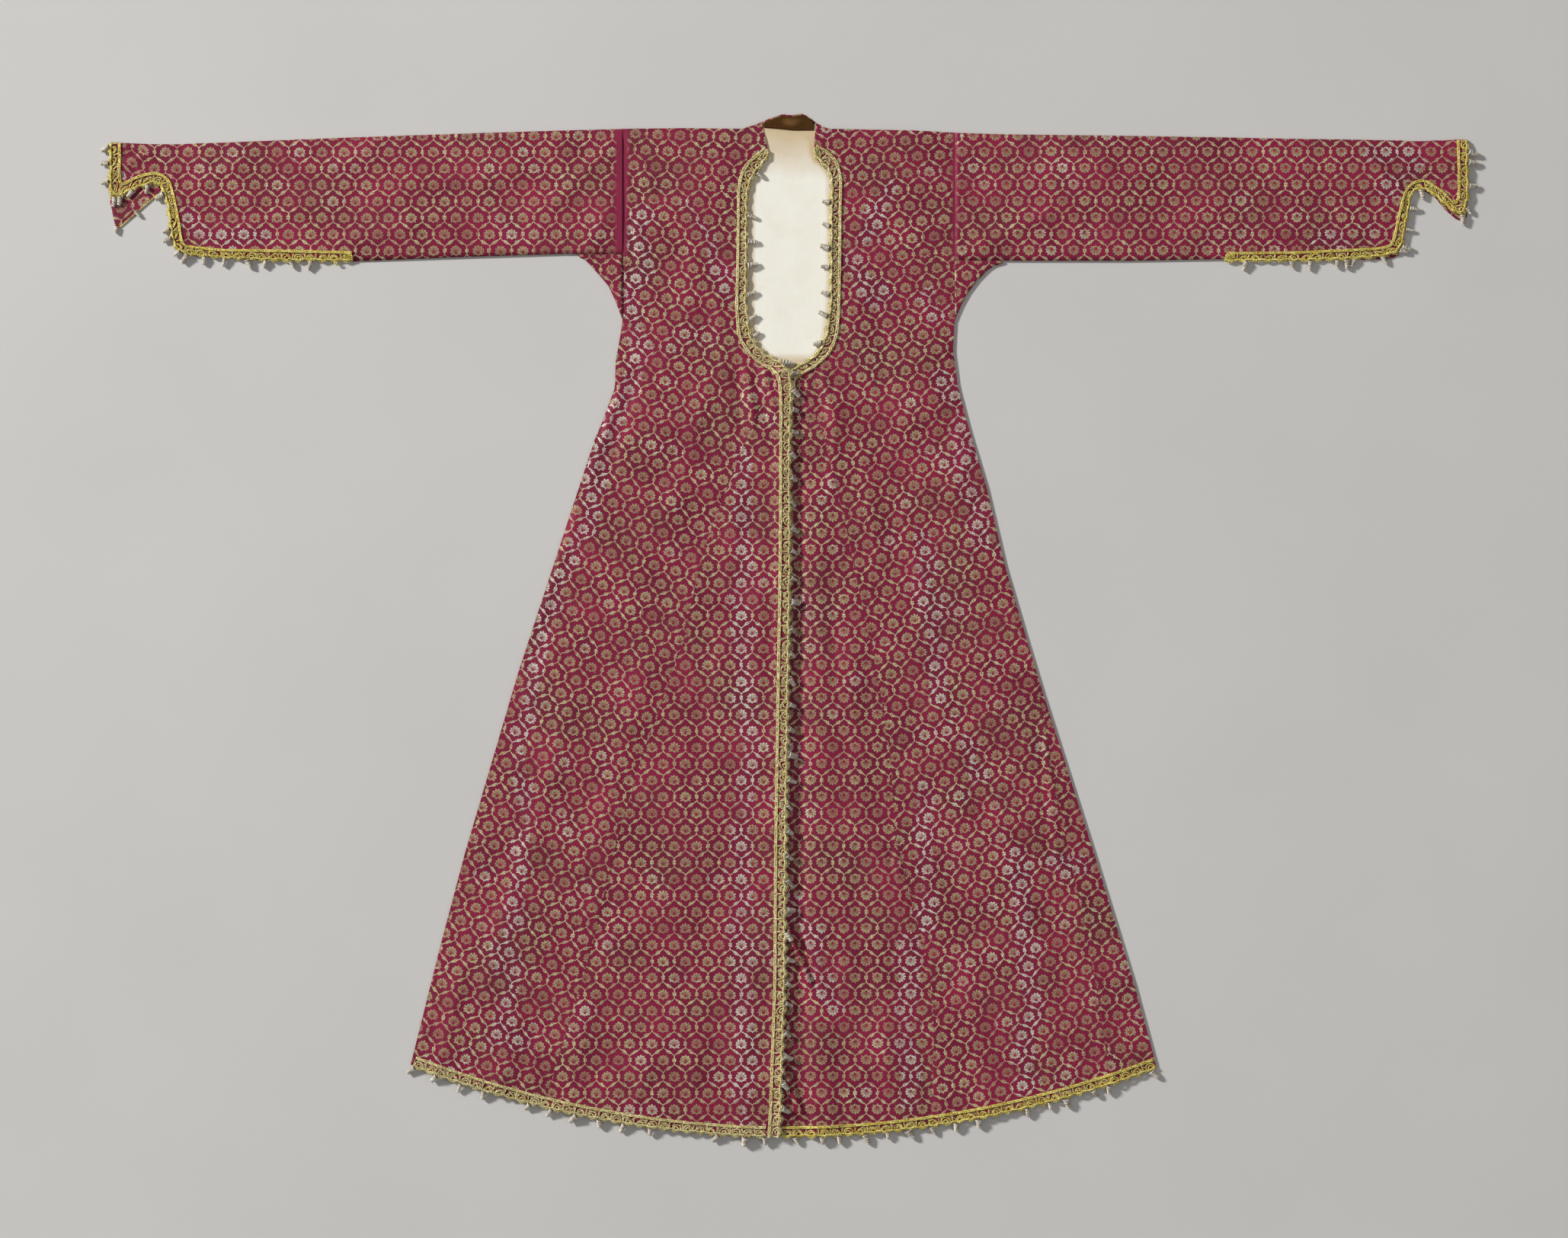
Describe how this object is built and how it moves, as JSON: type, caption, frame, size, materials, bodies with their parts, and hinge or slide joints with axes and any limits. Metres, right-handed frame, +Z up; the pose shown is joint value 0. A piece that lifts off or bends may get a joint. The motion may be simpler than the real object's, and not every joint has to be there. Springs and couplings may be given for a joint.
{
  "type": "brocade robe laid flat",
  "caption": "Long open-front silk brocade robe laid flat, with long straight sleeves, pointed notched cuffs, a lapped front, flared hem and metal lace edging with coil tassels.",
  "frame": {"origin": "on the flat underside of the back, at the middle of the robe's box", "axes": "+X from the wearer's right cuff to the left cuff, +Y towards the neck, +Z up off the surface that the robe lies on"},
  "size_m": [1.8, 1.3575, 0.0084],
  "materials": {
    "brocade": "crimson silk brocade with gold and silver metal thread",
    "lining": "undyed cream cotton, matt plain weave",
    "facing": "brown silk, soft sheen",
    "lace": "gilt metal thread lace",
    "tassels": "wound silver-gilt wire coils"
  },
  "bodies": {
    "root": {"back": "brocade", "front_right_panel": "brocade", "front_left_panel": "brocade", "front_right_gore": "brocade", "front_left_gore": "brocade", "sleeve_right": "brocade", "sleeve_left": "brocade", "gusset_right": "brocade", "gusset_left": "brocade", "back_lining": "lining", "neck_facing": "facing", "lace_right_edge": "lace", "lace_left_edge": "lace", "lace_right_hem": "lace", "lace_left_hem": "lace", "lace_right_cuff": "lace", "lace_left_cuff": "lace", "tassels_front_edge": "tassels", "tassels_right_neck": "tassels", "tassels_left_neck": "tassels", "tassels_right_hem": "tassels", "tassels_left_hem": "tassels", "tassels_right_cuff_end": "tassels", "tassels_right_cuff_slit": "tassels", "tassels_left_cuff_end": "tassels", "tassels_left_cuff_slit": "tassels"}
  },
  "joints": []
}
